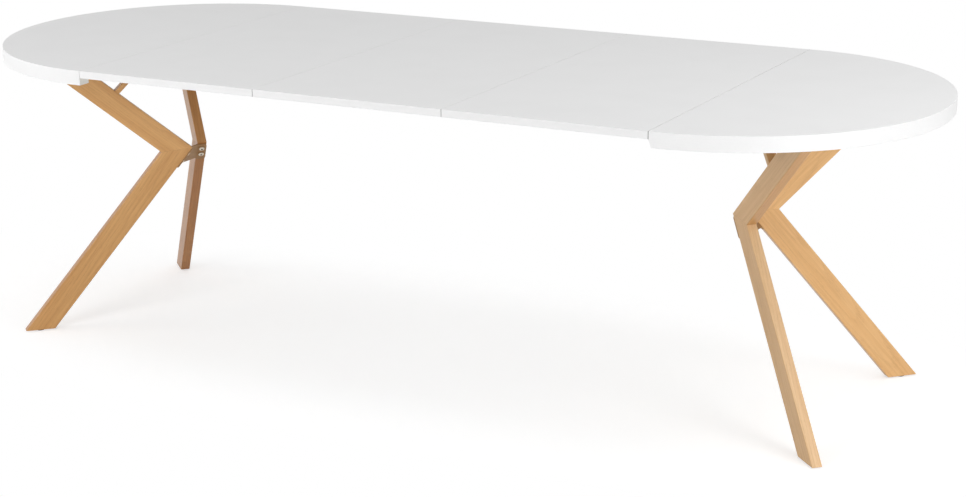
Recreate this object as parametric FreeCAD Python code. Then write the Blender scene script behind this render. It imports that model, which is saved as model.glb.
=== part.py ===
import FreeCAD, Part
import os
from math import asin, atan2, cos, degrees, hypot, pi, radians, sin, sqrt, tan

from FreeCAD import Vector

# Extending dining table. Two round-ended halves, each with its own pair of bent oak
# legs, are joined by telescopic runners, and three loose leaves lie between them.
# +X runs along the table, +Y across it, +Z up. The origin is on the floor, under the
# middle of the opened table. All sizes are in millimetres.

# Table top
end_radius = 500.0
leaf_length = 498.5
leaf_count = 3
table_height = 755.0
board_thickness = 18.0
band_thickness = 1.0
strip_width = 34.0
strip_thickness = 18.0
leaf_gap = 0.8
last_gap = 1.2
strip_end_relief = 6.0
board_arris = 0.6

# Legs, measured in the upright plane that each leg lies in
leg_turn = 45.0
bend_from_edge = 20.0
bend_from_middle = 24.0
bend_height = 463.0
leg_top_clearance = 20.0
lower_arm_drop = 50.0
arm_width = 58.5
leg_thickness = 25.0
arm_arris = 2.0
dowel_radius = 4.0
dowel_half_length = 14.0
dowel_places = (46.0, 66.0)
glide_radius = 10.0
glide_height = 3.0
glide_arris = 0.8

# Braces from the upper arms to the table top
brace_plate_clearance = 9.5
brace_lean = 45.0
brace_width = 13.0
brace_arris = 1.5

# Steel plates that fix the legs and braces to the table top
plate_thickness = 3.0
leg_plate_overhang = 3.0
leg_plate_width = 65.0
leg_plate_screw_inset = 15.0
brace_plate_length = 54.0
brace_plate_width = 40.0
plate_corner = 5.0
plate_screw_margin = 8.5
brace_plate_screw_margin = 7.0

# Folded bracket that ties the two legs of a pair together below their bends
bracket_thickness = 3.0
bracket_top = 4.0
bracket_bottom = 67.0
bracket_web_relief = 6.0
bracket_corner = 8.0
bolt_places = (21.0, 45.0)
bolt_head_radius = 7.0
bolt_head_height = 4.0
bolt_head_arris = 2.0
bolt_shank_radius = 3.0
bolt_length = 20.0
bolt_socket_radius = 2.9
bolt_socket_depth = 2.2
bolt_socket_sides = 6

# Wood screws
screw_head_radius = 4.0
screw_head_height = 2.4
screw_shank_radius = 2.0
screw_depth = 11.0
arm_screw_radius = 2.5
arm_screw_length = 32.0
arm_screw_inset = 11.0
arm_screw_pitch = 19.0
arm_screw_count = 2

# Telescopic runners: four rails side by side in each, hooked together by dovetails
runner_clearance = 12.9
rail_length = 800.0
rail_width = 12.0
rail_height = 40.0
rail_clearance = 0.3
rail_count = 4
dovetail_depth = 5.0
dovetail_root = 3.0
dovetail_tip = 5.0
flange_width = 20.0
flange_thickness = 3.0
flange_screw_places = (60.0, 200.0, 340.0)

# Latches under the seams
latch_from_side = 170.0
latch_inset = 22.0
latch_hook_width = 18.0
latch_hook_thickness = 2.5
latch_top_gap = 0.5
latch_pin_radius = 3.0
latch_pin_clearance = 0.2
latch_hook_nose = 8.0
latch_hook_corner = 7.0
latch_pin_length = 5.5
latch_head_radius = 5.5
latch_head_height = 2.2
latch_thread_radius = 2.0
latch_thread_length = 10.0
latch_slot_spare = 0.35

# Heights and lengths that follow from the sizes above
board_underside = table_height - board_thickness
strip_underside = board_underside - strip_thickness
strip_outer_radius = end_radius - band_thickness
strip_inner_radius = strip_outer_radius - strip_width
plate_underside = board_underside - plate_thickness
latch_from_middle = end_radius - latch_from_side
table_length = 2 * end_radius + leaf_count * (leaf_length + leaf_gap) + last_gap
left_edge = end_radius - table_length / 2
right_edge = -left_edge
quarter_turn = 90.0
parallel_tolerance = 1e-4
origin = Vector(0, 0, 0)
along_x = Vector(1, 0, 0)
along_y = Vector(0, 1, 0)
upward = Vector(0, 0, 1)


def save(node, *solids):
    """Write one node: a single solid, or a group of separate ones."""
    if len(solids) == 1:
        solids[0].exportStep("parts/" + node + ".step")
    else:
        Part.makeCompound(list(solids)).exportStep("parts/" + node + ".step")


def block(low_x, high_x, low_y, high_y, low_z, high_z):
    """A rectangular block between its low and high coordinates."""
    return Part.makeBox(high_x - low_x, high_y - low_y, high_z - low_z, Vector(low_x, low_y, low_z))


def prism(points, direction):
    """The solid swept by a flat outline moved along a direction."""
    outline = Part.makePolygon(points + [points[0]])
    return Part.Face(outline).extrude(direction)


def edges_along(solid, direction, wanted=None):
    """The straight edges of a solid that run along a direction."""
    found = []
    for edge in solid.Edges:
        if len(edge.Vertexes) != 2:
            continue
        run = edge.Vertexes[1].Point - edge.Vertexes[0].Point
        parallel = run.cross(direction).Length < parallel_tolerance * run.Length
        if parallel and (wanted is None or wanted(edge)):
            found.append(edge)
    return found


def cut_all(solid, tools):
    """The solid with each tool cut out of it."""
    for tool in tools:
        solid = solid.cut(tool)
    return solid


def half_disc(radius, low_z, high_z):
    """Half of a round slab, with its straight edge on x = 0 and its round side towards +X."""
    slab = Part.makeCylinder(radius, high_z - low_z, Vector(0, 0, low_z))
    return slab.common(block(0, radius, -radius, radius, low_z, high_z))


def screw(head_radius, head_height, shank_radius, shank_length, seat, direction):
    """A screw whose head ends at its seat and whose shank runs on from there."""
    head = Part.makeCylinder(head_radius, head_height, seat - direction * head_height, direction)
    shank = Part.makeCylinder(shank_radius, shank_length, seat, direction)
    return head.fuse(shank)


# ---- Table top -------------------------------------------------------------------


def end_board():
    """The half-round board of a table end."""
    board = half_disc(strip_outer_radius, board_underside, table_height)

    def on_seam_top_or_bottom(edge):
        return abs(edge.CenterOfMass.x) < board_arris

    return board.makeFillet(board_arris, edges_along(board, along_y, on_seam_top_or_bottom))


def relief_wedge(relief):
    """What is taken off the ends of a deep edge, from nothing at the board to the relief below."""
    reach = 2 * end_radius
    points = [
        Vector(-relief, -end_radius, board_underside),
        Vector(0, -end_radius, board_underside),
        Vector(relief, -end_radius, strip_underside),
        Vector(relief, -end_radius, strip_underside - relief),
        Vector(-relief, -end_radius, strip_underside - relief),
    ]
    return prism(points, Vector(0, reach, 0))


def edge_strip(relief):
    """The strip glued under the rim of an end board to make its edge look twice as thick."""
    outer = half_disc(strip_outer_radius, strip_underside, board_underside)
    strip = outer.cut(half_disc(strip_inner_radius, strip_underside, board_underside))
    return strip.cut(relief_wedge(relief)) if relief else strip


def edge_band(relief):
    """The thin band glued round an end board and its strip."""
    outer = half_disc(end_radius, strip_underside, table_height)
    arcs = [e for e in outer.Edges if e.Curve.TypeId == "Part::GeomCircle"]
    outer = outer.makeFillet(board_arris, arcs)
    band = outer.cut(half_disc(strip_outer_radius, strip_underside, table_height))
    return band.cut(relief_wedge(relief)) if relief else band


def leaf_board(low_x):
    """One loose leaf, with its edges lightly rounded."""
    board = block(low_x, low_x + leaf_length, -end_radius, end_radius, board_underside, table_height)
    return board.makeFillet(board_arris, board.Edges)


# ---- Legs, in their own plane: +X outwards from the bend, +Y across, +Z up --------


def in_plane(u, z):
    """A point on the near side of a leg, u outwards from the bend."""
    return Vector(u, -leg_thickness / 2, z)


def slope_point(start, angle, z):
    """The point at height z of the line through start that climbs at an angle."""
    return Vector(start.x + (z - start.z) / tan(radians(angle)), start.y, z)


# The upper arm ends where its plate keeps its clearance inside the strip under the rim. Its slope
# follows from that end, the bend and the arm's width.
bend_along = bend_from_edge * cos(radians(leg_turn)) + bend_from_middle * sin(radians(leg_turn))
bend_across = bend_from_middle * cos(radians(leg_turn)) - bend_from_edge * sin(radians(leg_turn))
plate_corner_across = leg_plate_width / 2 + abs(bend_across)
plate_reach = sqrt((strip_inner_radius - leg_top_clearance) ** 2 - plate_corner_across**2) - bend_along
arm_reach = plate_reach - leg_plate_overhang
arm_climb = plate_underside - bend_height
upper_arm_rise = degrees(atan2(arm_climb, arm_reach) + asin(arm_width / hypot(arm_reach, arm_climb)))

mitre_angle = (upper_arm_rise - lower_arm_drop) / 2
half_bend = (upper_arm_rise + lower_arm_drop) / 2
mitre_length = arm_width / sin(radians(half_bend))
apex = in_plane(0, bend_height)
crotch_u = mitre_length * cos(radians(mitre_angle))
crotch = in_plane(crotch_u, bend_height + mitre_length * sin(radians(mitre_angle)))
arm_top_inner = slope_point(apex, upper_arm_rise, plate_underside)
arm_top_outer = slope_point(crotch, upper_arm_rise, plate_underside)
foot_inner = slope_point(apex, -lower_arm_drop, glide_height)
foot_outer = slope_point(crotch, -lower_arm_drop, glide_height)
across_leg = Vector(0, leg_thickness, 0)
upper_run = Vector(cos(radians(upper_arm_rise)), 0, sin(radians(upper_arm_rise)))
lower_run = Vector(cos(radians(lower_arm_drop)), 0, -sin(radians(lower_arm_drop)))
lower_face = Vector(-sin(radians(lower_arm_drop)), 0, -cos(radians(lower_arm_drop)))

# Each runner lies just inside the leg plates, and the brace plates lie just inside the runners.
rail_pitch = rail_width + rail_clearance
plate_turned_half = leg_plate_width / 2 * cos(radians(leg_turn))
plate_middle_y = bend_from_middle + (arm_top_inner.x - leg_plate_overhang) * sin(radians(leg_turn))
leg_plate_y = plate_middle_y - plate_turned_half
runner_outer_face = leg_plate_y - runner_clearance - flange_width
runner_inner_edge = runner_outer_face - (rail_count - 1) * rail_pitch - rail_width - flange_width
brace_plate_y = runner_inner_edge - brace_plate_clearance - brace_plate_width / 2 * cos(radians(leg_turn))
brace_top_u = (brace_plate_y - bend_from_middle) / sin(radians(leg_turn)) - brace_plate_length / 2


def bend_dowels():
    """The dowels that pin the mitre of a bend, square to the mitre."""
    along = Vector(cos(radians(mitre_angle)), 0, sin(radians(mitre_angle)))
    square = Vector(-along.z, 0, along.x)
    dowels = []
    for place in dowel_places:
        start = Vector(0, 0, bend_height) + along * place - square * dowel_half_length
        dowels.append(Part.makeCylinder(dowel_radius, 2 * dowel_half_length, start, square))
    return dowels


def arm_screws():
    """The long screws that go down through the leg plate into the end of the upper arm."""
    screws = []
    for number in range(arm_screw_count):
        u = arm_top_inner.x + arm_screw_inset + number * arm_screw_pitch
        seat = Vector(u, 0, board_underside - screw_head_height)
        head_and_shank = (screw_head_radius, screw_head_height, arm_screw_radius, arm_screw_length)
        screws.append(screw(*head_and_shank, seat, -upward))
    return screws


def bracket_bolts():
    """The bolts that hold the bracket to the inner face of the lower arm."""
    bolts = []
    for place in bolt_places:
        seat = Vector(0, 0, bend_height) + lower_run * place + lower_face * bracket_thickness
        head = Part.makeCylinder(bolt_head_radius, bolt_head_height, seat, lower_face)
        rim = [e for e in head.Edges if (e.CenterOfMass - seat).dot(lower_face) > bolt_head_height / 2]
        head = head.makeFillet(bolt_head_arris, [e for e in rim if len(e.Vertexes) == 1])
        shank = Part.makeCylinder(bolt_shank_radius, bolt_length, seat, -lower_face)
        bolt = head.fuse(shank)
        socket_floor = seat + lower_face * (bolt_head_height - bolt_socket_depth)
        corners = []
        for corner in range(bolt_socket_sides):
            turn = 2 * pi * corner / bolt_socket_sides
            spoke = lower_run * cos(turn) + along_y * sin(turn)
            corners.append(socket_floor + spoke * bolt_socket_radius)
        socket = prism(corners, lower_face * (2 * bolt_socket_depth))
        bolts.append(bolt.cut(socket))
    return bolts


def upper_arm():
    """The oak arm from the bend up to the table top."""
    arm = prism([apex, crotch, arm_top_outer, arm_top_inner], across_leg)
    arm = arm.makeFillet(arm_arris, edges_along(arm, upper_run))
    return cut_all(arm, bend_dowels() + bracket_bolts() + arm_screws())


def lower_arm():
    """The oak arm from the bend down to the floor."""
    arm = prism([apex, crotch, foot_outer, foot_inner], across_leg)
    arm = arm.makeFillet(arm_arris, edges_along(arm, lower_run))
    return cut_all(arm, bend_dowels() + bracket_bolts())


def brace():
    """The short oak strut from the upper arm's inner edge to the table top."""
    half = brace_width / 2 / sin(radians(brace_lean))
    top_near = in_plane(brace_top_u - half, plate_underside)
    top_far = in_plane(brace_top_u + half, plate_underside)
    lean_run = Vector(-cos(radians(brace_lean)), 0, sin(radians(brace_lean)))

    def on_arm(top):
        rise = tan(radians(upper_arm_rise))
        lean = tan(radians(brace_lean))
        u = (top.z - bend_height + lean * top.x) / (rise + lean)
        return in_plane(u, bend_height + rise * u)

    strut = prism([on_arm(top_near), on_arm(top_far), top_far, top_near], across_leg)
    return strut.makeFillet(brace_arris, edges_along(strut, lean_run))


def foot_glide():
    """The plastic glide under the middle of a foot."""
    middle = (foot_inner.x + foot_outer.x) / 2
    glide = Part.makeCylinder(glide_radius, glide_height, Vector(middle, 0, 0))
    rim = [e for e in glide.Edges if len(e.Vertexes) == 1 and e.CenterOfMass.z < glide_height / 2]
    return glide.makeFillet(glide_arris, rim)


def plate_screws():
    """The short screws that hold a leg's two plates up against the board."""
    screws = []
    off_middle = leg_plate_width / 2 - plate_screw_margin
    from_brace = brace_plate_length / 2 - brace_plate_screw_margin
    places = [
        (arm_top_inner.x + leg_plate_screw_inset, off_middle),
        (arm_top_outer.x - leg_plate_screw_inset, off_middle),
        (arm_top_inner.x + leg_plate_screw_inset, -off_middle),
        (arm_top_outer.x - leg_plate_screw_inset, -off_middle),
        (brace_top_u - from_brace, 0),
        (brace_top_u + from_brace, 0),
    ]
    for u, y in places:
        seat = Vector(u, y, plate_underside)
        length = plate_thickness + screw_depth
        screws.append(screw(screw_head_radius, screw_head_height, screw_shank_radius, length, seat, upward))
    return screws


def mounting_plates():
    """The steel plates on the end of the upper arm and on the end of the brace."""
    low_u = arm_top_inner.x - leg_plate_overhang
    high_u = arm_top_outer.x + leg_plate_overhang
    half = leg_plate_width / 2
    leg_plate = block(low_u, high_u, -half, half, plate_underside, board_underside)
    low_u = brace_top_u - brace_plate_length / 2
    high_u = brace_top_u + brace_plate_length / 2
    half = brace_plate_width / 2
    brace_plate = block(low_u, high_u, -half, half, plate_underside, board_underside)
    plates = []
    for plate in (leg_plate, brace_plate):
        rounded = plate.makeFillet(plate_corner, edges_along(plate, upward))
        plates.append(cut_all(rounded, plate_screws() + arm_screws()))
    return plates


def to_rear_leg(solid):
    """Move a solid from the leg's own plane to the rear leg of a table end."""
    placed = solid.copy()
    placed.rotate(origin, upward, leg_turn)
    placed.translate(Vector(bend_from_edge, bend_from_middle, 0))
    return placed


def to_front_leg(solid):
    """Move a solid from the leg's own plane to the front leg of a table end."""
    return to_rear_leg(solid).mirror(origin, along_y)


def bend_bracket():
    """The folded plate between the lower arms of a pair: a wing on each and a flat web between."""
    turn = radians(leg_turn)
    outward = Vector(cos(turn), sin(turn), 0)
    across = Vector(-sin(turn), cos(turn), 0)
    run = outward * cos(radians(lower_arm_drop)) - upward * sin(radians(lower_arm_drop))
    face = outward * -sin(radians(lower_arm_drop)) - upward * cos(radians(lower_arm_drop))
    bend = Vector(bend_from_edge, bend_from_middle, bend_height)
    top = bend + run * bracket_top
    bottom = bend + run * bracket_bottom
    half = across * (leg_thickness / 2)
    wing = prism([top - half, top + half, bottom + half, bottom - half], face * bracket_thickness)

    def on_leg_side(edge):
        return (edge.CenterOfMass - bend).dot(across) > 0

    wing = wing.makeFillet(bracket_corner, edges_along(wing, face, on_leg_side))
    wing = cut_all(wing, [to_rear_leg(bolt) for bolt in bracket_bolts()])
    fold = [top - half, bottom - half - run * bracket_web_relief]
    other_fold = [Vector(point.x, -point.y, point.z) for point in fold]
    web_face = along_y.cross(fold[1] - fold[0]).normalize()
    web = prism([fold[0], other_fold[0], other_fold[1], fold[1]], web_face * bracket_thickness)
    return wing.fuse([web, wing.mirror(origin, along_y)]).removeSplitter()


# ---- Telescopic runners -----------------------------------------------------------


def rail(lane, middle_x, side):
    """One rail. Lane 0 is the outermost and the last lane is the innermost of its runner."""
    outer = runner_outer_face - lane * rail_pitch
    inner = outer - rail_width
    fixed = lane in (0, rail_count - 1)
    top = board_underside if fixed else board_underside - rail_clearance
    middle_z = board_underside - rail_height / 2
    low_x = middle_x - rail_length / 2
    high_x = middle_x + rail_length / 2
    bar = block(low_x, high_x, inner, outer, board_underside - rail_height, top)
    length = Vector(rail_length, 0, 0)
    if lane > 0:
        mouth = outer + rail_clearance
        floor = mouth - dovetail_depth - rail_clearance
        points = [
            Vector(low_x, mouth, middle_z - dovetail_root - rail_clearance),
            Vector(low_x, mouth, middle_z + dovetail_root + rail_clearance),
            Vector(low_x, floor, middle_z + dovetail_tip + rail_clearance),
            Vector(low_x, floor, middle_z - dovetail_tip - rail_clearance),
        ]
        bar = bar.cut(prism(points, length))
    if lane < rail_count - 1:
        points = [
            Vector(low_x, inner, middle_z - dovetail_root),
            Vector(low_x, inner, middle_z + dovetail_root),
            Vector(low_x, inner - dovetail_depth, middle_z + dovetail_tip),
            Vector(low_x, inner - dovetail_depth, middle_z - dovetail_tip),
        ]
        bar = bar.fuse(prism(points, length))
    if fixed:
        low_y = outer if lane == 0 else inner - flange_width
        flange_low = board_underside - flange_thickness
        flange = block(low_x, high_x, low_y, low_y + flange_width, flange_low, board_underside)
        bar = bar.fuse(flange)
    bar = bar.removeSplitter()
    return bar if side > 0 else bar.mirror(origin, along_y)


def rail_screws(lane, edge_x, direction, side):
    """The screws through a fixed rail's flange, at places measured from the seam edge."""
    outer = runner_outer_face - lane * rail_pitch
    y = outer + flange_width / 2 if lane == 0 else outer - rail_width - flange_width / 2
    screws = []
    for place in flange_screw_places:
        seat = Vector(edge_x + direction * place, side * y, board_underside - flange_thickness)
        length = flange_thickness + screw_depth
        screws.append(screw(screw_head_radius, screw_head_height, screw_shank_radius, length, seat, upward))
    return screws


# ---- Seam latches -----------------------------------------------------------------

slot_clearance = abs(last_gap - leaf_gap) / 2 + latch_slot_spare
hook_reach = 2 * latch_inset + (leaf_gap + last_gap) / 2
hook_top = board_underside - latch_top_gap
hook_bottom = hook_top - latch_hook_thickness


def latch_hook(pivot_x, side):
    """A flat hook, parked along the seam. It turns a quarter round to catch the next keeper."""
    low_x = -latch_hook_width / 2
    high_x = hook_reach + latch_hook_nose
    half = latch_hook_width / 2
    hook = block(low_x, high_x, -half, half, hook_bottom, hook_top)
    hook = hook.makeFillet(latch_hook_corner, edges_along(hook, upward))
    slot_half = latch_pin_radius + slot_clearance
    height = latch_hook_thickness
    base = Vector(0, 0, hook_bottom)
    ring = Part.makeCylinder(hook_reach + slot_half, height, base)
    ring = ring.cut(Part.makeCylinder(hook_reach - slot_half, height, base))
    slot = ring.common(block(0, high_x, 0, hook_reach, hook_bottom, hook_top))
    seat = Part.makeCylinder(slot_half, height, Vector(hook_reach, 0, hook_bottom))
    bore = Part.makeCylinder(latch_pin_radius + latch_pin_clearance, height, base)
    hook = cut_all(hook, [slot, seat, bore])
    hook.rotate(origin, upward, -quarter_turn)
    hook.translate(Vector(pivot_x, -latch_from_middle, 0))
    return hook if side < 0 else hook.mirror(origin, along_y)


def pivot_pins(seam_edge):
    """The headed pins that the hooks turn on, screwed up into the panel left of a seam."""
    pins = []
    for side in (-1, 1):
        foot = Vector(seam_edge - latch_inset, side * latch_from_middle, hook_bottom - latch_pin_clearance)
        shoulder_length = board_underside - foot.z
        shoulder = Part.makeCylinder(latch_pin_radius, shoulder_length, foot, upward)
        head = Part.makeCylinder(latch_head_radius, latch_head_height, foot, -upward)
        length = shoulder_length + latch_thread_length
        pins.append(shoulder.fuse(head).fuse(Part.makeCylinder(latch_thread_radius, length, foot, upward)))
    return pins


def keeper_pins(seam_edge):
    """The plain pins that the hooks catch, screwed up into the panel right of a seam."""
    pins = []
    for side in (-1, 1):
        top = Vector(seam_edge + latch_inset, side * latch_from_middle, board_underside)
        pin = Part.makeCylinder(latch_pin_radius, latch_pin_length, top, -upward)
        pins.append(pin.fuse(Part.makeCylinder(latch_thread_radius, latch_thread_length, top, upward)))
    return pins


# ---- Put the table together --------------------------------------------------------


def place_end(solid, side):
    """Move a solid from the frame of a table end to the left or right end of the table."""
    placed = solid.copy() if side > 0 else solid.mirror(origin, along_x)
    placed.translate(Vector(right_edge if side > 0 else left_edge, 0, 0))
    return placed


def save_end(side, name, lane, latch_pins):
    """Write every piece that belongs to one end of the table."""
    relief = strip_end_relief if side > 0 else 0.0
    both_legs = (("front", to_front_leg), ("rear", to_rear_leg))
    fixings = []
    dowels = []
    bolts = []
    plates = []
    glides = []
    for row, to_leg in both_legs:
        leg_name = name + "_" + row
        save(leg_name + "_upper_arm", place_end(to_leg(upper_arm()), side))
        save(leg_name + "_lower_arm", place_end(to_leg(lower_arm()), side))
        save(leg_name + "_brace", place_end(to_leg(brace()), side))
        fixings += [place_end(to_leg(part), side) for part in plate_screws() + arm_screws()]
        dowels += [place_end(to_leg(part), side) for part in bend_dowels()]
        bolts += [place_end(to_leg(part), side) for part in bracket_bolts()]
        plates += [place_end(to_leg(part), side) for part in mounting_plates()]
        glides.append(place_end(to_leg(foot_glide()), side))
    edge_x = right_edge if side > 0 else left_edge
    rail_fixings = rail_screws(lane, edge_x, side, -1) + rail_screws(lane, edge_x, side, 1)
    board = place_end(end_board(), side)
    save(name + "_end_board", cut_all(board, fixings + rail_fixings + latch_pins))
    save(name + "_edge_strip", place_end(edge_strip(relief), side))
    save(name + "_edge_band", place_end(edge_band(relief), side))
    save(name + "_bend_bracket", place_end(bend_bracket(), side))
    save(name + "_bend_dowels", *dowels)
    save(name + "_bracket_bolts", *bolts)
    save(name + "_mounting_plates", *plates)
    save(name + "_mounting_screws", *fixings)
    save(name + "_foot_glides", *glides)
    for row, row_side in (("front", -1), ("rear", 1)):
        end_rail = rail(lane, edge_x, row_side)
        save(name + "_" + row + "_end_rail", cut_all(end_rail, rail_fixings))
    save(name + "_rail_screws", *rail_fixings)
    save(name + "_latch_pins", *latch_pins)


os.makedirs("parts", exist_ok=True)

leaf_edges = []
next_edge = left_edge
for number in range(leaf_count):
    next_edge += leaf_gap
    leaf_edges.append((next_edge, next_edge + leaf_length))
    next_edge += leaf_length

left_latch_pins = pivot_pins(left_edge)
right_latch_pins = keeper_pins(right_edge)
save_end(-1, "left", 0, left_latch_pins)
save_end(1, "right", rail_count - 1, right_latch_pins)

for number, (low_x, high_x) in enumerate(leaf_edges, start=1):
    latch_pins = keeper_pins(low_x) + pivot_pins(high_x)
    save("leaf_%d" % number, cut_all(leaf_board(low_x), latch_pins))
    save("leaf_%d_latch_pins" % number, *latch_pins)

for number in range(1, rail_count - 1):
    middle_x = left_edge + (right_edge - left_edge) * number / (rail_count - 1)
    for row, row_side in (("front", -1), ("rear", 1)):
        save("%s_middle_rail_%d" % (row, number), rail(number, middle_x, row_side))

for number, seam_edge in enumerate([left_edge] + [high_x for low_x, high_x in leaf_edges], start=1):
    for row, row_side in (("front", -1), ("rear", 1)):
        save("%s_latch_hook_%d" % (row, number), latch_hook(seam_edge - latch_inset, row_side))
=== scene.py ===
from math import cos, pi, radians, sin

import bmesh
import bpy
from mathutils import Matrix, Vector


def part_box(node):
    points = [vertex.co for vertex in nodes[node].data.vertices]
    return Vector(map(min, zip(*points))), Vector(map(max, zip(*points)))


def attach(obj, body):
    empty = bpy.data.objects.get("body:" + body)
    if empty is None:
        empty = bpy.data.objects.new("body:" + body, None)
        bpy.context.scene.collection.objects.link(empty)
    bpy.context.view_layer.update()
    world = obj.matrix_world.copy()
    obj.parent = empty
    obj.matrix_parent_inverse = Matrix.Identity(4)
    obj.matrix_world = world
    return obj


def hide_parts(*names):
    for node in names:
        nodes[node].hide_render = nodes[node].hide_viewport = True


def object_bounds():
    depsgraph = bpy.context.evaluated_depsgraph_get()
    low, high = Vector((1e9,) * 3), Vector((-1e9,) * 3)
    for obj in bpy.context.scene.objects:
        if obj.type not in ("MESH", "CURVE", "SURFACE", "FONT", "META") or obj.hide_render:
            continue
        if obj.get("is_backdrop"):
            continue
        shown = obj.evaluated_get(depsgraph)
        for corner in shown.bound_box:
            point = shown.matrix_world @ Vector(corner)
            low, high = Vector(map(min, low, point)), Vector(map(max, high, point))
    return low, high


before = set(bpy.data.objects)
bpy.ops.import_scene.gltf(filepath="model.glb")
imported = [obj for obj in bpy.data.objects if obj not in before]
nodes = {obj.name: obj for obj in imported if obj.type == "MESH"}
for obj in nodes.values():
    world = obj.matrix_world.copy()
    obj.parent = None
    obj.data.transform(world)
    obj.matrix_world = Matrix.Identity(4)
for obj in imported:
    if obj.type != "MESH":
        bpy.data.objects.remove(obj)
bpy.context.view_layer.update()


# ---- End boards and leaves ---------------------------------------------------------
# The two half-round ends and the three loose leaves are fibreboard, faced on both sides
# with matt white melamine. Their straight sides are closed with a thin plastic band, glued
# on and trimmed flush, so that a hairline joint runs just inside each side.

class Wire:
    """One output of a node. An operator used on it adds the maths node that it stands for."""

    def __init__(self, tree, socket=None):
        self.tree = tree
        self.socket = socket

    def node(self, kind, settings=None, inputs=None, output=0):
        """Add a node of any kind: its settings first, then its sockets' values or links."""
        made = self.tree.nodes.new(kind)
        for name, setting in (settings or {}).items():
            setattr(made, name, setting)
        for name, value in (inputs or {}).items():
            for one in value if isinstance(value, list) else [value]:
                if isinstance(one, Wire):
                    self.tree.links.new(one.socket, made.inputs[name])
                else:
                    made.inputs[name].default_value = one
        return Wire(self.tree, made.outputs[output] if len(made.outputs) else None)

    def maths(self, operation, *values):
        return self.node("ShaderNodeMath", {"operation": operation}, dict(enumerate(values)))

    def __add__(self, other):
        return self.maths("ADD", self, other)

    def __radd__(self, other):
        return self.maths("ADD", other, self)

    def __sub__(self, other):
        return self.maths("SUBTRACT", self, other)

    def __rsub__(self, other):
        return self.maths("SUBTRACT", other, self)

    def __mul__(self, other):
        return self.maths("MULTIPLY", self, other)

    def __rmul__(self, other):
        return self.maths("MULTIPLY", other, self)

    def __truediv__(self, other):
        return self.maths("DIVIDE", self, other)

    def __abs__(self):
        return self.maths("ABSOLUTE", self)


def fade(value, start, end):
    """0 up to the start, 1 from the end on, and a smooth rise between them."""
    inputs = {"Value": value, "From Min": start, "From Max": end}
    return value.node("ShaderNodeMapRange", {"interpolation_type": "SMOOTHSTEP"}, inputs)


def blend(amount, first, second):
    """A colour between two, by an amount from 0 to 1."""
    return amount.node("ShaderNodeMix", {"data_type": "RGBA"}, {0: amount, 6: first, 7: second}, 2)


def least(wires):
    """The smallest of a few values."""
    smallest = wires[0]
    for other in wires[1:]:
        smallest = smallest.maths("MINIMUM", smallest, other)
    return smallest


def axes_of(position):
    """The three coordinates of a position."""
    split = position.node("ShaderNodeSeparateXYZ", {}, {0: position})
    return [Wire(split.tree, output) for output in split.socket.node.outputs]


def stretched_noise(position, stretch, detail=3.0, roughness=0.5):
    """A noise from 0 to 1 with so many features per metre along each axis."""
    inputs = {0: position, 1: stretch}
    places = position.node("ShaderNodeVectorMath", {"operation": "MULTIPLY"}, inputs)
    inputs = {"Vector": places, "Scale": 1.0, "Detail": detail, "Roughness": roughness}
    return position.node("ShaderNodeTexNoise", {}, inputs)


def bump(height, depth):
    """The surface normal of a height from 0 to 1 that stands for a depth in metres."""
    return height.node("ShaderNodeBump", {}, {"Height": height, "Distance": depth})


def finish_of(name):
    """A new material: its position wire, and a function that closes it with its sockets."""
    material = bpy.data.materials.new(name)
    material.use_nodes = True
    tree = material.node_tree
    shader = tree.nodes["Principled BSDF"]
    position = Wire(tree).node("ShaderNodeTexCoord", output="Object")

    def close(**sockets):
        for socket, value in sockets.items():
            place = shader.inputs[socket.replace("_", " ")]
            if isinstance(value, Wire):
                tree.links.new(value.socket, place)
            else:
                place.default_value = value
        return material

    return position, close


def dress(node, material):
    """Give a carried-over piece its finish."""
    mesh = nodes[node].data
    mesh.materials.clear()
    mesh.materials.append(material)


band_thickness = 0.001
band_corner = 0.0002
joint_width = 0.00012
joint_strength = 0.3
melamine_white = (0.86, 0.86, 0.86, 1)
melamine_shade = (0.85, 0.85, 0.85, 1)
joint_grey = (0.70, 0.70, 0.69, 1)
# Painted shade: a grey for the corners by the seams, where the gaps between the boards fall dark.
seam_shade_grey = (0.34, 0.34, 0.33, 1)
seam_shade_reach = 0.0004
seam_shade_length = 0.003
emboss_per_metre = (900, 900, 900)
emboss_depth = 0.00004
band_emboss = 0.25
cloud_per_metre = (9, 9, 9)


def melamine(name, sides, seam_shade=None):
    """White melamine. Sides gives the distances of a point from each banded side, and the last
    argument gives those from the sides and the ends of the corners by the seams, which are darkened
    grey with painted shade."""
    position, close = finish_of(name)
    axes = axes_of(position)
    nearest = least(sides(*axes))
    joint = 1 - fade(abs(nearest - band_thickness), joint_width * 0.4, joint_width)
    face = fade(nearest, band_corner, band_thickness)
    emboss = stretched_noise(position, emboss_per_metre, 2.0)
    cloud = stretched_noise(position, cloud_per_metre, 2.0)
    colour = blend(fade(cloud, 0.35, 0.75), melamine_white, melamine_shade)
    colour = blend(joint * joint_strength, colour, joint_grey)
    # Painted shade: the corners of the seam sides darken to grey near the front and rear edges.
    if seam_shade:
        off_side, off_end = [least(distances) for distances in seam_shade(*axes)]
        shade_by_side = 1 - fade(off_side, seam_shade_reach * 0.25, seam_shade_reach)
        shade_by_end = 1 - fade(off_end, seam_shade_length * 0.5, seam_shade_length)
        colour = blend(shade_by_side * shade_by_end, colour, seam_shade_grey)
    return close(
        Base_Color=colour,
        Roughness=0.44 + emboss * 0.12 + (1 - face) * 0.04,
        Normal=bump(emboss * (band_emboss + face * (1 - band_emboss)) - joint, emboss_depth),
    )


def all_round(low, high):
    return lambda x, y, z: [x - low.x, high.x - x, y - low.y, high.y - y]


def seam_shade_corners(low, high, both_sides):
    """The distances from the sides whose corners by the seams get painted shade, and from the
    corners' ends.
    """
    def distances(x, y, z):
        off_sides = [high.x - x] + ([x - low.x] if both_sides else [])
        return off_sides, [y - low.y, high.y - y]
    return distances


# Each leaf's seam corners get painted shade near the front and rear edges, the first leaf's only on
# its right side.
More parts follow.
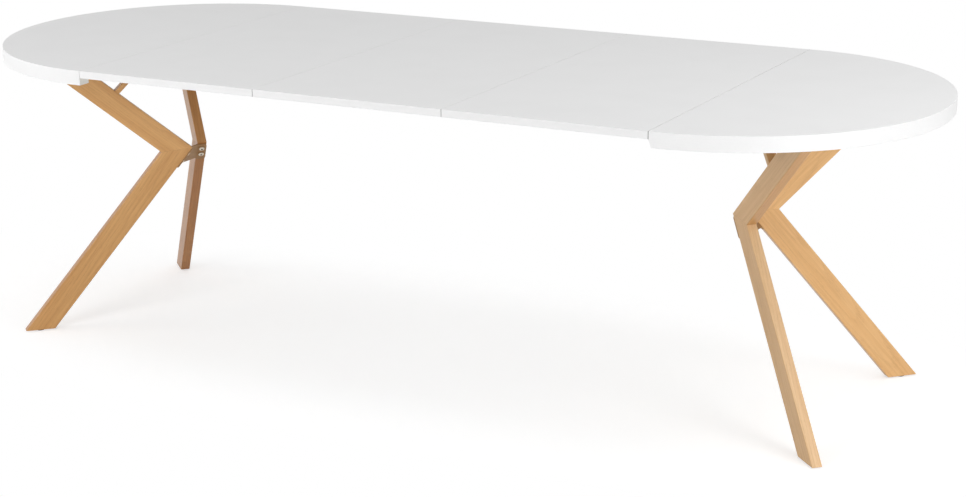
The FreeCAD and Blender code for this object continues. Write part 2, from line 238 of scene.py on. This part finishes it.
for leaf, shaded_both_sides in (("leaf_1", False), ("leaf_2", True), ("leaf_3", True)):
    low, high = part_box(leaf)
    seam_shade = seam_shade_corners(low, high, shaded_both_sides)
    dress(leaf, melamine(leaf + "_melamine", all_round(low, high), seam_shade))

left_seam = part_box("left_end_board")[1].x
right_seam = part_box("right_end_board")[0].x
ends = (("left", -1, left_seam), ("right", 1, right_seam))

for end, side_x, seam in ends:
    board = melamine(end + "_end_melamine", lambda x, y, z: [(x - seam) * side_x])
    dress(end + "_end_board", board)


# ---- Edge strips and their bands ---------------------------------------------------
# A curved strip of the same board, painted white over its rough nap, is glued under the rim
# of each end, so that the edge looks twice as deep. One plastic band, wrapped round while
# hot, covers board and strip.

band_white = (0.87, 0.87, 0.87, 1)
band_shade_reach = 0.0006
ripple_per_metre = (140, 140, 500)
satin_per_metre = (1600, 1600, 1600)
ripple_depth = 0.00003
strip_white = (0.83, 0.815, 0.77, 1)
strip_nap = (0.78, 0.76, 0.70, 1)
nap_per_metre = (260, 260, 260)
nap_depth = 0.00008

for end in ("left", "right"):
    position, close = finish_of(end + "_band_plastic")
    ripple = stretched_noise(position, ripple_per_metre, 2.0)
    satin = stretched_noise(position, satin_per_metre, 1.0)
    colour = blend(fade(ripple, 0.4, 0.7), band_white, melamine_white)
    # Painted shade: the right band darkens to grey right at its seam, where the gap falls dark.
    if end == "right":
        off_seam = axes_of(position)[0] - right_seam
        shade_by_seam = 1 - fade(off_seam, band_shade_reach * 0.5, band_shade_reach)
        colour = blend(shade_by_seam, colour, seam_shade_grey)
    dress(end + "_edge_band", close(
        Base_Color=colour,
        Roughness=0.40 + satin * 0.1,
        Normal=bump(ripple * 0.6 + satin * 0.4, ripple_depth),
    ))
    position, close = finish_of(end + "_strip_paint")
    nap = stretched_noise(position, nap_per_metre, 4.0, 0.7)
    dress(end + "_edge_strip", close(
        Base_Color=blend(fade(nap, 0.52, 0.66), strip_white, strip_nap),
        Roughness=0.52 + nap * 0.12,
        Normal=bump(nap, nap_depth),
    ))


# ---- Legs and braces ---------------------------------------------------------------
# Each leg is two arms of solid oak, mitred and dowelled at the bend, and a short oak brace
# runs from the upper arm to the top. All are planed, their long edges rounded over, and
# finished with a clear satin lacquer, so the grain follows each arm's own length.

leg_turn = radians(45)
upper_arm_rise = radians(40.339)
lower_arm_drop = radians(50)
brace_lean = radians(45)
bend_from_edge = 0.020
bend_from_middle = 0.024
bend_height = 0.463
leg_thickness = 0.025
arm_arris = 0.002
mitre_fall = (lower_arm_drop - upper_arm_rise) / 2
glue_line = 0.00025
upward = Vector((0, 0, 1))
rows = (("front", -1), ("rear", 1))

oak_honey = (0.603, 0.309, 0.103)
oak_pale = (0.676, 0.373, 0.138)
oak_early = (0.478, 0.227, 0.069)
oak_pore = (0.302, 0.136, 0.044)
oak_end = (0.426, 0.218, 0.077)
# Painted light and shade: each board's depth and lightness are partly its own tone and partly
# painted light. The right rear leg is made brighter and the left rear leg, under the top, darker.
# The narrow-face tints are a painted sheen where they are above 1 and painted shade where they are
# below 1.
oak_boards_and_painted_light = {
    "left_front_upper": (0.98, 1.07, (0.78, 0.70, 0.60, 1)),
    "left_front_lower": (1.00, 1.05, (0.70, 0.62, 0.52, 1)),
    "left_rear_upper": (1.16, 0.75, (1.12, 1.10, 1.14, 1)),
    "left_rear_lower": (1.32, 0.71, (1.12, 1.04, 0.92, 1)),
    "right_front_upper": (0.78, 0.86, (0.95, 0.81, 0.62, 1)),
    "right_front_lower": (0.78, 0.86, (1.25, 1.34, 1.60, 1)),
    "right_rear_upper": (0.82, 1.24, (0.80, 0.74, 0.64, 1)),
    "right_rear_lower": (0.83, 1.21, (0.62, 0.55, 0.45, 1)),
}
ring_pitch = 0.0054
shift_by_end = 0.011
shift_by_row = 0.017
drift_per_metre = (2.2, 8, 8)
drift_reach = 0.030
wander_per_metre = (9, 34, 34)
wander_reach = 0.007
fibres_per_metre = (5, 260, 260)
bright_per_metre = (4, 170, 170)
streaks_per_metre = (3.2, 60, 60)
pores_per_metre = (75, 1900, 1900)
rays_per_metre = (120, 900, 160)
grain_depth = 0.00010
cut_reach = 0.0005
lacquer = 0.45
lacquer_roughness = 0.30


def oak(name, bend, along, across, pith, tone_and_painted_light, cut_level, mitre=None):
    """Oak with its grain along one direction. The pith is how far off the tree's heart lies,
    sideways and in depth, and how far it leans off over a metre. The board's tone is its
    depth, its lightness and the tint of its narrow faces. These are partly the board's own tone and
    partly painted light and shade: a painted sheen or painted shade on the narrow faces, and legs
    made lighter or darker by how they are lit. The cut level is the height at which the piece is
    sawn off flat."""
    position, close = finish_of(name)
    pith_side, pith_depth, lean_side, lean_depth = pith
    depth_of_tone, lightness_and_painted_light, narrow_painted_light = tone_and_painted_light
    honey, pale, early_wood, pore, end_grain = [
        tuple(part ** depth_of_tone * lightness_and_painted_light for part in colour) + (1,)
        for colour in (oak_honey, oak_pale, oak_early, oak_pore, oak_end)
    ]

    def measured(direction):
        """How far a point lies from the bend, along a direction."""
        inputs = {0: position, 1: direction}
        far = position.node("ShaderNodeVectorMath", {"operation": "DOT_PRODUCT"}, inputs, "Value")
        return far - bend.dot(direction)

    run = measured(along)
    side = measured(across.cross(along))
    depth = measured(across)
    board = position.node("ShaderNodeCombineXYZ", {}, {0: run, 1: side, 2: depth})

    drift = stretched_noise(board, drift_per_metre, 2.0)
    wander = stretched_noise(board, wander_per_metre, 3.0)
    off_side = side - pith_side + run * lean_side + (drift - 0.5) * drift_reach
    off_depth = depth - pith_depth + run * lean_depth + (wander - 0.5) * wander_reach
    reach = position.maths("SQRT", off_side * off_side + off_depth * off_depth)
    year = position.maths("FRACT", reach / ring_pitch)
    early = 1 - fade(year, 0.05, 0.55)
    onset = fade(year, 0.0, 0.05)

    fibres = stretched_noise(board, fibres_per_metre, 4.0, 0.7)
    bright = stretched_noise(board, bright_per_metre, 2.0)
    streaks = stretched_noise(board, streaks_per_metre, 3.0, 0.55)
    pores = fade(stretched_noise(board, pores_per_metre, 1.0), 0.56, 0.66) * (0.25 + early * 0.75)
    rays = fade(stretched_noise(board, rays_per_metre, 1.0), 0.66, 0.76)

    colour = blend(fade(streaks, 0.30, 0.72), honey, pale)
    colour = blend(early * onset * 0.25, colour, early_wood)
    colour = blend(fade(fibres, 0.40, 0.66) * 0.38, colour, early_wood)
    colour = blend(fade(bright, 0.52, 0.70) * 0.50, colour, pale)
    colour = blend(rays * 0.18, colour, pale)
    colour = blend(pores * 0.34, colour, pore)

    # Painted light: the narrow faces take their board's tint, which is a painted sheen or painted
    # shade.
    half = leg_thickness / 2
    painted_narrow_mask = 1 - fade(abs(depth), half - arm_arris * 0.7, half - arm_arris * 0.1)
    settings = {"data_type": "RGBA", "blend_type": "MULTIPLY"}
    colour = position.node("ShaderNodeMix", settings, {0: painted_narrow_mask, 6: colour, 7: narrow_painted_light}, 2)
    cut = 1 - fade(abs(axes_of(position)[2] - cut_level), cut_reach * 0.4, cut_reach)
    colour = blend(cut * 0.55, colour, end_grain)
    if mitre:
        glue = 1 - fade(abs(measured(mitre)), glue_line * 0.5, glue_line)
        colour = blend(glue * 0.6, colour, pore)
    return close(
        Base_Color=colour,
        Roughness=0.42 + fibres * 0.10 + pores * 0.10,
        Specular_IOR_Level=0.3,
        Coat_Weight=lacquer,
        Coat_Roughness=lacquer_roughness,
        Normal=bump(fibres * 0.25 - pores * 0.75, grain_depth),
    )


def leg_lines(seam, side_x, side_y):
    """A leg's bend, and the directions outwards, up its upper arm and down its lower arm."""
    outward = Vector((side_x * cos(leg_turn), side_y * sin(leg_turn), 0))
    bend = Vector((seam + side_x * bend_from_edge, side_y * bend_from_middle, bend_height))
    upper = outward * cos(upper_arm_rise) + upward * sin(upper_arm_rise)
    lower = outward * cos(lower_arm_drop) - upward * sin(lower_arm_drop)
    return bend, outward, upper, lower


for end, side_x, seam in ends:
    for row, side_y in rows:
        leg = end + "_" + row
        bend, outward, upper, lower = leg_lines(seam, side_x, side_y)
        across = upward.cross(outward)
        mitre = outward * sin(mitre_fall) + upward * cos(mitre_fall)
        strut = upward * sin(brace_lean) - outward * cos(brace_lean)
        shift = shift_by_end * side_x + shift_by_row * side_y
        # Each piece's board, grain, pith, box corner where it is sawn flat, and mitre.
        pieces = (
            ("upper_arm", "upper", upper, (0.030 + shift, 0.052, 0.045, 0.03), 1, mitre),
            ("lower_arm", "lower", lower, (-0.024 - shift, -0.046, -0.04, 0.035), 0, mitre),
            ("brace", "upper", strut, (0.060, 0.035 + shift, 0.02, 0.02), 1, None),
        )
        for piece, board, along, pith, corner, glued in pieces:
            node = leg + "_" + piece
            name = node.replace("_arm", "") + "_oak"
            cut_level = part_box(node)[corner].z
            tone_and_painted_light = oak_boards_and_painted_light[leg + "_" + board]
            dress(node, oak(name, bend, along, across, pith, tone_and_painted_light, cut_level, glued))


# ---- Dowels in the bends -----------------------------------------------------------
# Two beech dowels pin each mitre. They are glued in and don't show once the leg is put
# together.

beech = (0.66, 0.46, 0.31, 1)
beech_fleck = (0.50, 0.31, 0.19, 1)
flecks_per_metre = (900, 900, 120)
fleck_depth = 0.0001

for end in ("left", "right"):
    position, close = finish_of(end + "_dowel_beech")
    flecks = stretched_noise(position, flecks_per_metre, 2.0)
    dress(end + "_bend_dowels", close(
        Base_Color=blend(fade(flecks, 0.55, 0.70), beech, beech_fleck),
        Roughness=0.6 + flecks * 0.1,
        Normal=bump(flecks, fleck_depth),
    ))


# ---- Brackets between the legs -------------------------------------------------------
# A plate of 3 mm steel, folded twice round a flat web and powder coated oak brown, ties the
# two legs of each pair just below the bends. The coat has a fine orange peel.

coat_brown = (0.320, 0.170, 0.064, 1)
coat_light = (0.390, 0.215, 0.088, 1)
speckle_per_metre = (1500, 1500, 1500)
peel_per_metre = (420, 420, 420)
peel_depth = 0.00006

for end in ("left", "right"):
    position, close = finish_of(end + "_powder_coat")
    speckle = stretched_noise(position, speckle_per_metre, 2.0, 0.6)
    orange_peel = stretched_noise(position, peel_per_metre, 1.0)
    dress(end + "_bend_bracket", close(
        Base_Color=blend(fade(speckle, 0.45, 0.68), coat_brown, coat_light),
        Roughness=0.46 + speckle * 0.16,
        Normal=bump(orange_peel * 0.7 + speckle * 0.3, peel_depth),
    ))


# ---- Bracket bolts ------------------------------------------------------------------
# Button-headed bolts of nickelled steel, two to a leg, are driven through the bracket into
# the lower arm with a hexagon key. Inside their sockets the plating is thin and dark, and the
# hollow is darkened further with painted shade.

bolt_places = (0.021, 0.045)
bracket_thickness = 0.003
bolt_sizes = {
    "Head Radius": 0.007,
    "Head Height": 0.004,
    "Socket Radius": 0.0029,
    "Socket Depth": 0.0022,
    "Shank Radius": 0.003,
    "Shank Length": 0.020,
}
bolt_spread = 1.22
bolt_facets = 48
socket_sides = 6
socket_share = 0.93
seat_skin = 0.0001
nickel = (0.66, 0.60, 0.50, 1)
nickel_dull = (0.50, 0.44, 0.36, 1)
socket_dark_and_painted_shade = (0.15, 0.11, 0.075, 1)
tarnish_per_metre = (260, 260, 260)
turning_per_metre = (2600, 2600, 700)
turning_depth = 0.00001


def seat_tree(name, sizes, result):
    """Start a tree, and give the wires of its seats and of each of its named sizes."""
    tree = bpy.data.node_groups.new(name, "GeometryNodeTree")
    tree.interface.new_socket("Seats", in_out="INPUT", socket_type="NodeSocketGeometry")
    for size in sizes:
        tree.interface.new_socket(size, in_out="INPUT", socket_type="NodeSocketFloat")
    tree.interface.new_socket(result, in_out="OUTPUT", socket_type="NodeSocketGeometry")
    start = Wire(tree).node("NodeGroupInput")
    return [Wire(tree, output) for output in start.socket.node.outputs if output.name]


def vector(x, y, z):
    return z.node("ShaderNodeCombineXYZ", {}, {0: x, 1: y, 2: z})


def cylinder(facets, radius, depth):
    inputs = {"Vertices": facets, "Radius": radius, "Depth": depth}
    return radius.node("GeometryNodeMeshCylinder", {}, inputs)


def raised(solid, rise):
    lift = solid.node("ShaderNodeCombineXYZ", {}, {2: rise})
    return solid.node("GeometryNodeTransform", {}, {"Geometry": solid, "Translation": lift})


def domed_head(facets, radius, height, spread):
    """A head that is flat where it sits: a flattened ball, trimmed to the head's radius. The
    spread is how much wider than the head the whole ball is."""
    inputs = {"Segments": facets, "Rings": facets // 2, "Radius": 1.0}
    ball = radius.node("GeometryNodeMeshUVSphere", {}, inputs)
    size = vector(radius * spread, radius * spread, height)
    dome = radius.node("GeometryNodeTransform", {}, {"Geometry": ball, "Scale": size})
    drum = raised(cylinder(facets, radius, height * 2), height)
    inputs = {"Mesh 2": [dome, drum]}
    return radius.node("GeometryNodeMeshBoolean", {"operation": "INTERSECT"}, inputs)


def seats_own(seats, kind, name):
    """An attribute that the seats carry, such as the way each one points."""
    return seats.node("GeometryNodeInputNamedAttribute", {"data_type": kind}, {"Name": name})


def on_seats(seats, solid, scale=(1, 1, 1)):
    """A solid on each seat, its top towards the seat's own direction."""
    way = seats_own(seats, "FLOAT_VECTOR", "way")
    turn = seats.node("FunctionNodeAlignRotationToVector", {"axis": "Z"}, {"Vector": way})
    inputs = {"Points": seats, "Instance": solid, "Rotation": turn, "Scale": scale}
    return seats.node("GeometryNodeInstanceOnPoints", {}, inputs)


def finished_tree(planted, material, result):
    """Make a tree's instances real, give them their finish, and close the tree."""
    real = planted.node("GeometryNodeRealizeInstances", {}, {"Geometry": planted})
    done = planted.node("GeometryNodeSetMaterial", {}, {"Geometry": real, "Material": material})
    planted.node("NodeGroupOutput", {}, {result: done})
    return planted.tree


def planted_by(tree, name, sizes, seats, ways, reaches=None):
    """What a tree makes on its seats, as one plain object."""
    points = bpy.data.meshes.new(name + "_seats")
    points.from_pydata(seats, [], [])
    points.attributes.new("way", "FLOAT_VECTOR", "POINT")
    points.attributes["way"].data.foreach_set("vector", [n for way in ways for n in way])
    if reaches:
        points.attributes.new("reach", "FLOAT", "POINT")
        points.attributes["reach"].data.foreach_set("value", reaches)
    holder = bpy.data.objects.new(name + "_seats", points)
    bpy.context.scene.collection.objects.link(holder)
    modifier = holder.modifiers.new("planting", "NODES")
    modifier.node_group = tree
    for item in tree.interface.items_tree:
        if item.name in sizes:
            modifier[item.identifier] = sizes[item.name]
    ready = holder.evaluated_get(bpy.context.evaluated_depsgraph_get())
    mesh = bpy.data.meshes.new_from_object(ready)
    bpy.data.objects.remove(holder)
    made = bpy.data.objects.new(name, mesh)
    bpy.context.scene.collection.objects.link(made)
    return made


def bolt_tree(material):
    """A tree that sets a bolt on each seat, its head towards the seat's own direction."""
    wires = seat_tree("bracket_bolts", bolt_sizes, "Bolts")
    seats, radius, height, socket, depth, shank_radius, length = wires
    head = domed_head(bolt_facets, radius, height, bolt_spread)
    key = raised(cylinder(socket_sides, socket, depth * 2), height)
    inputs = {"Mesh 1": head, "Mesh 2": key}
    head = seats.node("GeometryNodeMeshBoolean", {"operation": "DIFFERENCE"}, inputs)
    x, y, z = axes_of(seats.node("GeometryNodeInputPosition"))
    off_axis = seats.maths("SQRT", x * x + y * y)
    inside = seats.maths("LESS_THAN", off_axis, socket * socket_share)
    above = seats.maths("GREATER_THAN", z, seat_skin)
    settings = {"data_type": "FLOAT", "domain": "FACE"}
    inputs = {"Geometry": head, "Name": "in_socket", "Value": inside * above}
    head = seats.node("GeometryNodeStoreNamedAttribute", settings, inputs)
    shank = raised(cylinder(bolt_facets // 2, shank_radius, length), length * -0.5)
    bolt = seats.node("GeometryNodeJoinGeometry", {}, {"Geometry": [head, shank]})
    return finished_tree(on_seats(seats, bolt), material, "Bolts")


position, close = finish_of("nickel_plate")
tarnish = stretched_noise(position, tarnish_per_metre, 3.0)
turning = stretched_noise(position, turning_per_metre, 1.0)
# Painted shade: the socket's faces take a dark brown, which is partly thin plating and partly
# painted shade in the hollow.
in_socket = position.node("ShaderNodeAttribute", {"attribute_name": "in_socket"}, output="Fac")
colour = blend(fade(tarnish, 0.48, 0.75), nickel, nickel_dull)
bolts_by_tree = bolt_tree(close(
    Base_Color=blend(in_socket, colour, socket_dark_and_painted_shade),
    Roughness=0.22 + tarnish * 0.14 + in_socket * 0.25,
    Metallic=1.0,
    Normal=bump(turning, turning_depth),
))

for end, side_x, seam in ends:
    seats = []
    ways = []
    for row, side_y in rows:
        bend, outward, upper, lower = leg_lines(seam, side_x, side_y)
        face = outward * -sin(lower_arm_drop) - upward * cos(lower_arm_drop)
        for place in bolt_places:
            seats.append(bend + lower * place + face * bracket_thickness)
            ways.append(face)
    bolts = planted_by(bolts_by_tree, end + "_socket_bolts", bolt_sizes, seats, ways)
    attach(bolts, end + "_half")
    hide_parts(end + "_bracket_bolts")


# ---- Foot glides --------------------------------------------------------------------
# A black plastic glide is fixed under each foot. It is moulded with a fine spark texture,
# and its underside is polished by the floor.

glide_black = (0.022, 0.022, 0.023, 1)
glide_worn = (0.050, 0.050, 0.052, 1)
spark_per_metre = (1300, 1300, 1300)
spark_depth = 0.00005
worn_below = 0.0002
unworn_above = 0.0009

for end in ("left", "right"):
    position, close = finish_of(end + "_glide_plastic")
    spark = stretched_noise(position, spark_per_metre, 2.0)
    height = axes_of(position)[2]
    worn = (1 - fade(height, worn_below, unworn_above)) * fade(spark, 0.4, 0.6)
    dress(end + "_foot_glides", close(
        Base_Color=blend(worn, glide_black, glide_worn),
        Roughness=0.55 + spark * 0.15 - worn * 0.25,
        Normal=bump(spark, spark_depth),
    ))


# ---- Mounting plates ----------------------------------------------------------------
# Flat steel plates, stamped and zinc plated, join the arms and braces to the top. The
# plating has a faint bluish bloom and the long scratches of the rolled sheet.

zinc = (0.60, 0.615, 0.63, 1)
zinc_bloom = (0.47, 0.485, 0.52, 1)
bloom_per_metre = (60, 60, 60)
rolling_per_metre = (14, 1500, 1500)
rolling_depth = 0.00002


def zinc_plate(name):
    position, close = finish_of(name)
    bloom = stretched_noise(position, bloom_per_metre, 4.0, 0.6)
    rolling = stretched_noise(position, rolling_per_metre, 2.0)
    return close(
        Base_Color=blend(fade(bloom, 0.42, 0.70), zinc, zinc_bloom),
        Roughness=0.34 + bloom * 0.16 + rolling * 0.05,
        Metallic=0.95,
        Normal=bump(rolling, rolling_depth),
    )


for end in ("left", "right"):
    dress(end + "_mounting_plates", zinc_plate(end + "_plate_zinc"))


# ---- Telescopic runners -------------------------------------------------------------
# Each runner is four rails side by side, hooked together by dovetails so that they slide
# out like a ladder. The rails are plain extruded aluminium, with long lines from the die.

aluminium = (0.70, 0.705, 0.71, 1)
die_line = (0.56, 0.565, 0.575, 1)
rubbed_bright = (0.78, 0.78, 0.775, 1)
lines_per_metre = (1.6, 900, 900)
scuffs_per_metre = (11, 300, 300)
line_depth = 0.00003
rails = [row + "_middle_rail_" + number for row in ("front", "rear") for number in ("1", "2")]
rails += [end + "_" + row + "_end_rail" for end in ("left", "right") for row in ("front", "rear")]

for rail in rails:
    position, close = finish_of(rail + "_aluminium")
    lines = stretched_noise(position, lines_per_metre, 3.0, 0.65)
    scuffs = stretched_noise(position, scuffs_per_metre, 2.0)
    colour = blend(fade(lines, 0.45, 0.62), aluminium, die_line)
    dress(rail, close(
        Base_Color=blend(fade(scuffs, 0.62, 0.72) * 0.6, colour, rubbed_bright),
        Roughness=0.30 + lines * 0.18,
        Metallic=0.95,
        Normal=bump(lines, line_depth),
    ))


# ---- Seam latches -------------------------------------------------------------------
# Near both ends of each seam, a flat zinc-plated hook turns on a headed steel pin and
# catches a plain pin in the next panel. The hooks are stamped, the pins turned and plated.

pin_steel = (0.66, 0.66, 0.655, 1)
pin_dull = (0.50, 0.50, 0.50, 1)
lathe_per_metre = (900, 900, 2400)
lathe_depth = 0.00001

for row in ("front", "rear"):
    for number in ("1", "2", "3", "4"):
        hook = row + "_latch_hook_" + number
        dress(hook, zinc_plate(hook + "_zinc"))


def turned_steel(name):
    position, close = finish_of(name)
    lathe = stretched_noise(position, lathe_per_metre, 2.0)
    return close(
        Base_Color=blend(fade(lathe, 0.45, 0.70), pin_steel, pin_dull),
        Roughness=0.26 + lathe * 0.14,
        Metallic=1.0,
        Normal=bump(lathe, lathe_depth),
    )


for holder in ("left", "leaf_1", "leaf_2", "leaf_3", "right"):
    dress(holder + "_latch_pins", turned_steel(holder + "_pin_steel"))


# ---- Wood screws --------------------------------------------------------------------
# Pan-headed steel screws with a cross recess hold the plates and the end rails up to the
# boards, and longer ones go down through each leg plate into the end of its arm.

screw_sizes = {
    "Head Radius": 0.004,
    "Head Height": 0.0024,
    "Shank Radius": 0.002,
    "Recess Length": 0.0046,
    "Recess Width": 0.0011,
    "Recess Depth": 0.0013,
}
screw_spread = 1.3
screw_facets = 28
longest_short_screw = 0.020
same_place = 1e-6


def solids_of(node):
    """The low and high corners of each separate solid in a node."""
    mesh = bmesh.new()
    mesh.from_mesh(nodes[node].data)
    bmesh.ops.remove_doubles(mesh, verts=mesh.verts, dist=same_place)
    waiting = set(mesh.verts)
    found = []
    while waiting:
        edge_of = [waiting.pop()]
        solid = []
        while edge_of:
            vertex = edge_of.pop()
            solid.append(vertex.co.copy())
            for edge in vertex.link_edges:
                other = edge.other_vert(vertex)
                if other in waiting:
                    waiting.remove(other)
                    edge_of.append(other)
        low = Vector(min(point[axis] for point in solid) for axis in range(3))
        high = Vector(max(point[axis] for point in solid) for axis in range(3))
        found.append((low, high))
    mesh.free()
    return sorted(found, key=lambda corners: tuple(corners[0]))


def screw_tree(material):
    """A tree that sets a screw on each seat, its head towards the seat's own direction and
    its shank as long as the seat's own reach."""
    wires = seat_tree("wood_screws", screw_sizes, "Screws")
    seats, radius, height, shank_radius, length, width, depth = wires
    head = domed_head(screw_facets, radius, height, screw_spread)
    slot = seats.node("GeometryNodeMeshCube", {}, {"Size": vector(length, width, depth * 2)})
    other = seats.node("GeometryNodeMeshCube", {}, {"Size": vector(width, length, depth * 2)})
    cross = seats.node("GeometryNodeMeshBoolean", {"operation": "UNION"}, {"Mesh 2": [slot, other]})
    inputs = {"Mesh 1": head, "Mesh 2": raised(cross, height)}
    head = seats.node("GeometryNodeMeshBoolean", {"operation": "DIFFERENCE"}, inputs)
    shank = raised(cylinder(screw_facets // 2, shank_radius, 1.0), -0.5)
    reach = seats_own(seats, "FLOAT", "reach")
    heads = on_seats(seats, head)
    shanks = on_seats(seats, shank, vector(1.0, 1.0, reach))
    screws = seats.node("GeometryNodeJoinGeometry", {}, {"Geometry": [heads, shanks]})
    return finished_tree(screws, material, "Screws")


screws_by_tree = screw_tree(turned_steel("screw_steel"))
head_height = screw_sizes["Head Height"]

for end in ("left", "right"):
    replaced = (end + "_mounting_screws", end + "_rail_screws")
    seats = []
    ways = []
    reaches = []
    for low, high in solids_of(replaced[0]) + solids_of(replaced[1]):
        middle = (low + high) / 2
        goes_down = high.z - low.z > longest_short_screw
        sits_at = high.z - head_height if goes_down else low.z + head_height
        seats.append((middle.x, middle.y, sits_at))
        ways.append((0, 0, 1 if goes_down else -1))
        reaches.append(high.z - low.z - head_height)
    screws = planted_by(screws_by_tree, end + "_wood_screws", screw_sizes, seats, ways, reaches)
    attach(screws, end + "_half")
    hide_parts(*replaced)


# ---- Floor --------------------------------------------------------------------------
# A plain white studio floor that runs on behind the table. To the camera and in the metal
# it glows faintly round the table's soft shadow, and is plain white away from it.

floor_reach = 40.0
floor_white = (0.88, 0.88, 0.88, 1)
glow_near = 0.351
shadow_length = 1.8
shadow_width = 0.6
white_from = 0.5
white_by = 1.2

mesh = bpy.data.meshes.new("floor")
corners = [(x * floor_reach, y * floor_reach, 0) for x, y in ((-1, -1), (1, -1), (1, 1), (-1, 1))]
mesh.from_pydata(corners, [], [(0, 1, 2, 3)])
floor = bpy.data.objects.new("floor", mesh)
bpy.context.scene.collection.objects.link(floor)
material = bpy.data.materials.new("studio_floor")
material.use_nodes = True
tree = material.node_tree
tree.nodes.clear()


def seen_directly(tree):
    """1 for the rays that show the background: from the camera, a gloss or a clear body."""
    path = Wire(tree).node("ShaderNodeLightPath").socket.node
    names = ("Is Camera Ray", "Is Glossy Ray", "Is Transmission Ray")
    camera, glossy, through = [Wire(tree, path.outputs[name]) for name in names]
    return camera.maths("MINIMUM", camera + glossy + through, 1.0)


seen = seen_directly(tree)
matt = seen.node("ShaderNodeBsdfDiffuse", {}, {"Color": floor_white})
glow = seen.node("ShaderNodeEmission", {}, {"Strength": glow_near})
lit = seen.node("ShaderNodeAddShader", {}, {0: matt, 1: glow})
white = seen.node("ShaderNodeEmission", {}, {"Strength": 1.0})
x, y, z = axes_of(seen.node("ShaderNodeTexCoord", output="Object"))
off_middle = seen.maths("SQRT", x * x * (1 / shadow_length ** 2) + y * y * (1 / shadow_width ** 2))
far_off = fade(off_middle, white_from, white_by)
shown = seen.node("ShaderNodeMixShader", {}, {0: far_off, 1: lit, 2: white})
mixed = seen.node("ShaderNodeMixShader", {}, {0: seen, 1: matt, 2: shown})
seen.node("ShaderNodeOutputMaterial", {}, {"Surface": mixed})
mesh.materials.append(material)
floor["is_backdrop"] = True


# ---- Light --------------------------------------------------------------------------
# An even white room, a very wide soft light above, and five softboxes: one at the front
# left, one at the left end, two at the right end and one over the right of the top.

room_level = 0.37
world = bpy.data.worlds.new("room")
bpy.context.scene.world = world
world.use_nodes = True
tree = world.node_tree
background = tree.nodes["Background"]
background.inputs["Color"].default_value = (1, 1, 1, 1)
seen = seen_directly(tree)
tree.links.new((room_level + seen * (1 - room_level)).socket, background.inputs["Strength"])


def aim(light, place, target):
    """Put a light in place and turn it to its target."""
    lamp = bpy.data.objects.new(light.name, light)
    bpy.context.scene.collection.objects.link(lamp)
    lamp.location = place
    lamp.rotation_euler = (Vector(target) - Vector(place)).to_track_quat("-Z", "Y").to_euler()


above = bpy.data.lights.new("soft_light_above", "SUN")
above.angle = radians(70)
above.energy = 0.61
aim(above, (0, 1.0, 3.0), (0, 0, 0))

softboxes = {
    "front_softbox": (36.8, (1.6, 1.2), (-0.9, -3.4, 1.7), (0, 0, 0.45)),
    "left_softbox": (14.9, (1.4, 1.2), (-3.0, -1.6, 1.2), (-0.8, 0, 0.5)),
    "right_softbox": (10.5, (1.2, 1.2), (2.6, -0.7, 1.7), (0.9, 0, 0.4)),
    "low_softbox": (12, (1.2, 0.9), (2.7, -1.5, 0.65), (0.9, 0, 0.4)),
    "top_softbox": (6.7, (1.2, 1.2), (1.9, 0.2, 2.6), (0.9, 0, 0.75)),
}
for name, (power, size, place, target) in softboxes.items():
    light = bpy.data.lights.new(name, "AREA")
    light.shape = "RECTANGLE"
    light.size, light.size_y = size
    light.energy = power
    aim(light, place, target)


# ---- Camera -------------------------------------------------------------------------
# A long lens about a metre above the table top, in front of the table and off its right
# end. It is tilted by half a degree.

azimuth = 0.48885
elevation = 0.28069
roll = -0.01018
camera_place = (2.57625, -4.6827, 1.81316)
lens = 82.39
sensor_width = 36.0

camera = bpy.data.objects.new("camera", bpy.data.cameras.new("camera"))
bpy.context.scene.collection.objects.link(camera)
camera.data.lens = lens
camera.data.sensor_width = sensor_width
turn = Matrix.Rotation(azimuth, 4, "Z") @ Matrix.Rotation(pi / 2 - elevation, 4, "X")
camera.matrix_world = Matrix.Translation(camera_place) @ turn @ Matrix.Rotation(roll, 4, "Z")
bpy.context.scene.camera = camera
bpy.context.scene.view_settings.view_transform = "Standard"

low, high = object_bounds()
